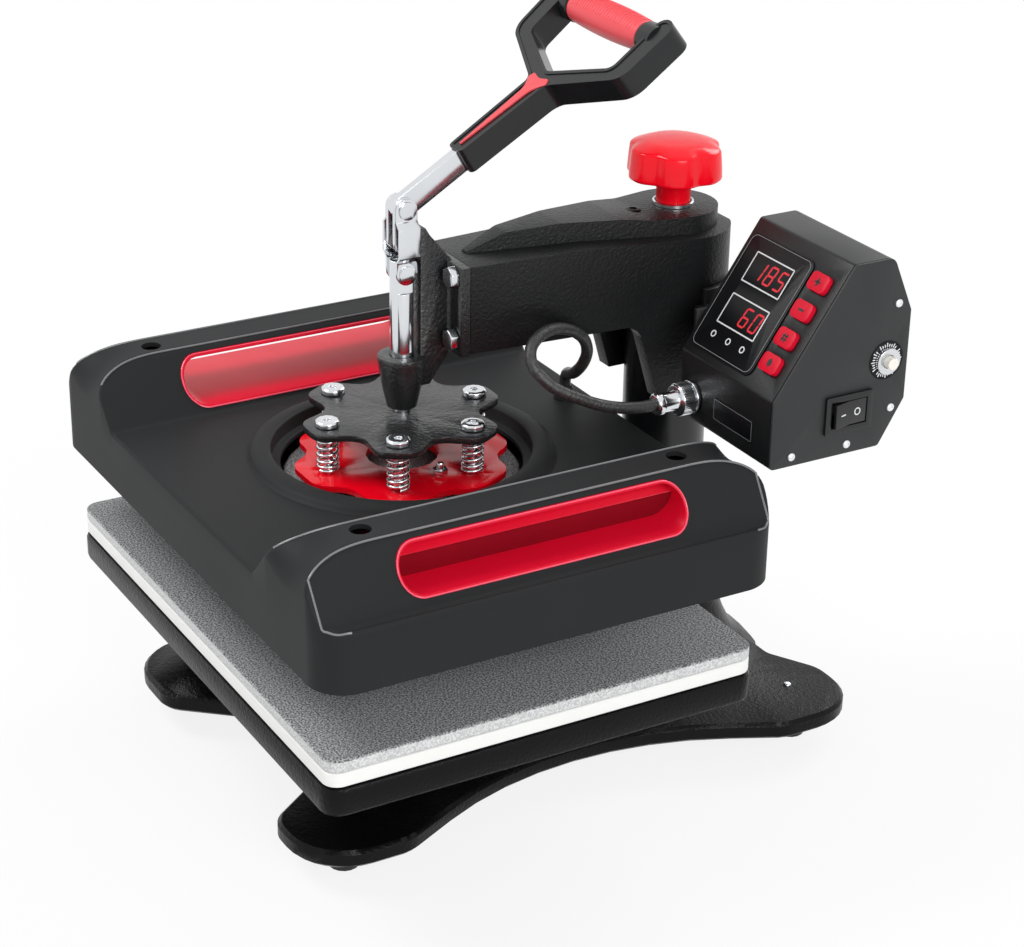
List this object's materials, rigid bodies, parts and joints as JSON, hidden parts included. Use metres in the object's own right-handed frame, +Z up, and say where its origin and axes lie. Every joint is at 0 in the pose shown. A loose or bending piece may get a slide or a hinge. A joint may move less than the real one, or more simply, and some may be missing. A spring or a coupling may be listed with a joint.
{
  "type": "combo heat press",
  "caption": "Swing-arm heat press: heated platen with moulded cover on a toggle lever, padded lower tray, column base and side control box.",
  "frame": {"origin": "on the table, under the middle of the press's outline", "axes": "+X to the operator's right, +Y away from the operator, +Z up"},
  "size_m": [0.4016, 0.4324, 0.492],
  "materials": {
    "black_enamel": "textured powder coat",
    "black_sheet_steel": "fine powder coat",
    "red_enamel": "gloss enamel",
    "speckled_pan": "speckled hammer paint",
    "plated_steel": "bright nickel plate",
    "cast_aluminium": "machined and coated",
    "black_moulded_plastic": "fine moulded grain",
    "black_handle_plastic": "satin moulded",
    "black_nylon": "satin",
    "black_film": "glossy film",
    "red_plastic": "gloss moulded",
    "ivory_plastic": "gloss",
    "coral_soft_plastic": "soft touch",
    "circuit_board": "solder mask",
    "white_silicone": "smooth",
    "grey_silicone_sponge": "fine open grain",
    "black_rubber": "smooth"
  },
  "bodies": {
    "base": {"base_casting": "black_enamel", "rubber_foot_front_left": "black_rubber", "rubber_foot_front_right": "black_rubber", "rubber_foot_rear_left": "black_rubber", "rubber_foot_rear_right": "black_rubber", "column_tube": "black_enamel", "tray_pedestal": "black_enamel", "lower_tray": "black_enamel", "silicone_pad": "white_silicone", "sponge_pad": "grey_silicone_sponge"},
    "arm": {"arm_housing": "black_enamel", "head_bracket": "black_enamel", "bracket_bolt_1": "plated_steel", "bracket_bolt_2": "plated_steel", "bracket_bolt_3": "plated_steel", "bracket_bolt_4": "plated_steel", "box_bracket": "black_enamel", "box_shell": "black_sheet_steel", "box_end_plate": "black_sheet_steel", "display_panel": "black_film", "rocker_bezel": "black_nylon", "breaker_nut": "plated_steel", "connector_socket": "plated_steel", "connector_plug": "plated_steel", "mains_inlet": "black_nylon", "controller_board": "circuit_board", "heater_lead": "black_rubber"},
    "knob": {"pressure_knob": "red_plastic"},
    "lever": {"lever_bar": "plated_steel", "d_handle": "black_handle_plastic", "handle_inlay": "coral_soft_plastic", "hand_grip": "coral_soft_plastic"},
    "links": {"link_left": "plated_steel", "link_right": "plated_steel"},
    "head": {"spindle_rod": "plated_steel", "star_plate": "black_enamel", "spring_1": "plated_steel", "spring_2": "plated_steel", "spring_3": "plated_steel", "spring_4": "plated_steel", "spring_5": "plated_steel", "spring_6": "plated_steel"},
    "platen": {"red_plate": "red_enamel", "plate_bolt_1": "plated_steel", "plate_bolt_2": "plated_steel", "plate_bolt_3": "plated_steel", "plate_bolt_4": "plated_steel", "plate_bolt_5": "plated_steel", "plate_bolt_6": "plated_steel", "heater_platen": "cast_aluminium", "terminal_pan": "speckled_pan", "head_cover": "black_moulded_plastic", "grip_liner_left": "red_plastic", "grip_liner_right": "red_plastic"},
    "button_up": {"button_1": "red_plastic"},
    "button_down": {"button_2": "red_plastic"},
    "button_mode": {"button_3": "red_plastic"},
    "button_timer": {"button_4": "red_plastic"},
    "rocker": {"rocker_switch": "black_nylon"},
    "breaker": {"breaker_button": "ivory_plastic"}
  },
  "joints": [
    {"name": "arm_swing", "type": "hinge", "parent": "base", "child": "arm", "pos_m": [0, 0.13342, 0.3], "axis": [0, 0, 1], "range_deg": [-150, 150]},
    {"name": "knob_turn", "type": "hinge", "parent": "arm", "child": "knob", "pos_m": [0, 0.13342, 0.38], "axis": [0, 0, 1], "range_deg": [-720, 720]},
    {"name": "lever_swing", "type": "hinge", "parent": "arm", "child": "lever", "pos_m": [0, -0.06377, 0.361], "axis": [1, 0, 0], "range_deg": [0, 172]},
    {"name": "link_hinge", "type": "hinge", "parent": "lever", "child": "links", "pos_m": [0, -0.06377, 0.382], "axis": [1, 0, 0], "range_deg": [-168, 0.1]},
    {"name": "spindle_slide", "type": "slide", "parent": "arm", "child": "head", "axis": [0, 0, -1], "range_m": [0, 0.0418]},
    {"name": "platen_float", "type": "slide", "parent": "head", "child": "platen", "axis": [0, 0, 1], "range_m": [0, 0.003], "stiffness_N_per_m": 60000, "springref_m": -0.0011, "deforming": ["spring_1", "spring_2", "spring_3", "spring_4", "spring_5", "spring_6"]},
    {"name": "button_up_press", "type": "slide", "parent": "arm", "child": "button_up", "axis": [0, 0.8221, -0.5693], "range_m": [0, 0.001], "stiffness_N_per_m": 1500, "springref_m": -0.0005},
    {"name": "button_down_press", "type": "slide", "parent": "arm", "child": "button_down", "axis": [0, 0.8221, -0.5693], "range_m": [0, 0.001], "stiffness_N_per_m": 1500, "springref_m": -0.0005},
    {"name": "button_mode_press", "type": "slide", "parent": "arm", "child": "button_mode", "axis": [0, 0.8221, -0.5693], "range_m": [0, 0.001], "stiffness_N_per_m": 1500, "springref_m": -0.0005},
    {"name": "button_timer_press", "type": "slide", "parent": "arm", "child": "button_timer", "axis": [0, 0.8221, -0.5693], "range_m": [0, 0.001], "stiffness_N_per_m": 1500, "springref_m": -0.0005},
    {"name": "rocker_tip", "type": "hinge", "parent": "arm", "child": "rocker", "pos_m": [0.1679, 0.15573, 0.2675], "axis": [0, 0, 1], "range_deg": [-16, 0]},
    {"name": "breaker_press", "type": "slide", "parent": "arm", "child": "breaker", "axis": [-1, 0, 0], "range_m": [0, 0.0015], "stiffness_N_per_m": 1500, "springref_m": -0.0005}
  ],
  "couplings": [
    {"joint": "spindle_slide", "follows": "lever_swing", "m_per_rad": 0.013888},
    {"joint": "link_hinge", "follows": "lever_swing", "ratio": -0.97623}
  ]
}
